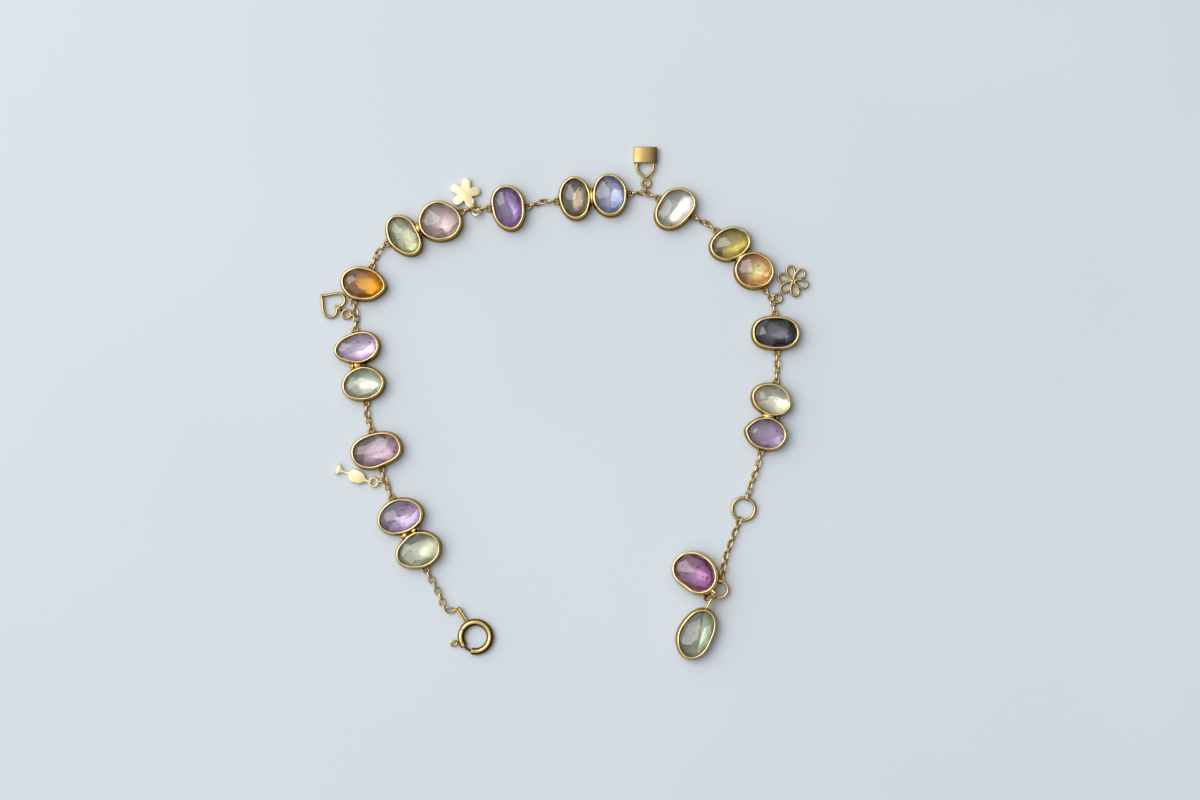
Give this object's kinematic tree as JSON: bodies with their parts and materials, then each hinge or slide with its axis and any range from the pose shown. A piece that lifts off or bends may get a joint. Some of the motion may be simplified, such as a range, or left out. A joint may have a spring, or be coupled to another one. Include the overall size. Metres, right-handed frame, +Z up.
{
  "type": "gemstone bracelet",
  "caption": "Slim chain bracelet of rose-cut gemstones in gold bezels, with flat charms, two drops on an end ring and a spring ring clasp, lying open and unfastened.",
  "frame": {"origin": "under the middle of the whole bracelet, on the surface that it lies on", "axes": "+Z up from the surface; +Y towards the middle of the chain, away from the clasp and the end ring; +X to the side of the end ring and the drops"},
  "size_m": [0.0759, 0.0795, 0.0037],
  "materials": {
    "gold": "polished yellow gold",
    "gold_satin": "satin yellow gold",
    "lemon": "faceted gemstone, pale yellow-green",
    "lilac": "faceted gemstone, lilac with dark flecks",
    "rose": "faceted gemstone, dusty pink",
    "mint": "faceted gemstone, very pale mint",
    "lavender": "faceted gemstone, lavender",
    "amber": "faceted gemstone, amber orange",
    "celadon": "faceted gemstone, pale green",
    "blush": "faceted gemstone, pale blush",
    "amethyst": "faceted gemstone, purple",
    "taupe": "faceted gemstone, pinkish tan",
    "periwinkle": "faceted gemstone, periwinkle blue",
    "clear": "faceted gemstone, colourless",
    "olive": "faceted gemstone, olive yellow",
    "peach": "faceted gemstone, peach with a golden middle",
    "slate": "faceted gemstone, dark grey-violet",
    "citron": "faceted gemstone, pale lemon green",
    "violet": "faceted gemstone, violet",
    "magenta": "faceted gemstone, magenta pink",
    "sage": "faceted gemstone, sage green"
  },
  "bodies": {
    "bracelet": {"setting_01_02": "gold", "setting_03": "gold", "setting_04_05": "gold", "setting_06": "gold", "setting_07_08": "gold", "setting_09": "gold", "setting_10_11": "gold", "setting_12": "gold", "setting_13_14": "gold", "setting_15": "gold", "setting_16_17": "gold", "setting_18_drop": "gold", "setting_19_drop": "gold", "stone_01_lemon": "lemon", "stone_02_lilac": "lilac", "stone_03_rose": "rose", "stone_04_mint": "mint", "stone_05_lavender": "lavender", "stone_06_amber": "amber", "stone_07_celadon": "celadon", "stone_08_blush": "blush", "stone_09_amethyst": "amethyst", "stone_10_taupe": "taupe", "stone_11_periwinkle": "periwinkle", "stone_12_clear": "clear", "stone_13_olive": "olive", "stone_14_peach": "peach", "stone_15_slate": "slate", "stone_16_citron": "citron", "stone_17_violet": "violet", "stone_18_magenta": "magenta", "stone_19_sage": "sage", "chain_01": "gold", "chain_02": "gold", "chain_03": "gold", "chain_04": "gold", "chain_05": "gold", "chain_06": "gold", "chain_07": "gold", "chain_08": "gold", "chain_09": "gold", "chain_10": "gold", "chain_11": "gold", "chain_12": "gold", "chain_13": "gold", "ring_middle": "gold", "ring_end": "gold", "ring_drops": "gold", "charm_flower": "gold_satin", "charm_padlock": "gold_satin", "charm_daisy": "gold", "charm_wine_glass": "gold_satin", "charm_heart": "gold", "clasp_body": "gold"},
    "clasp_bolt": {"clasp_bolt": "gold"}
  },
  "joints": [
    {"name": "bolt_slide", "type": "hinge", "parent": "bracelet", "child": "clasp_bolt", "pos_m": [-0.0134, -0.0364, 0.00056], "axis": [0, 0, -1], "range_deg": [0, 42], "stiffness_Nm_per_rad": 0.001}
  ]
}
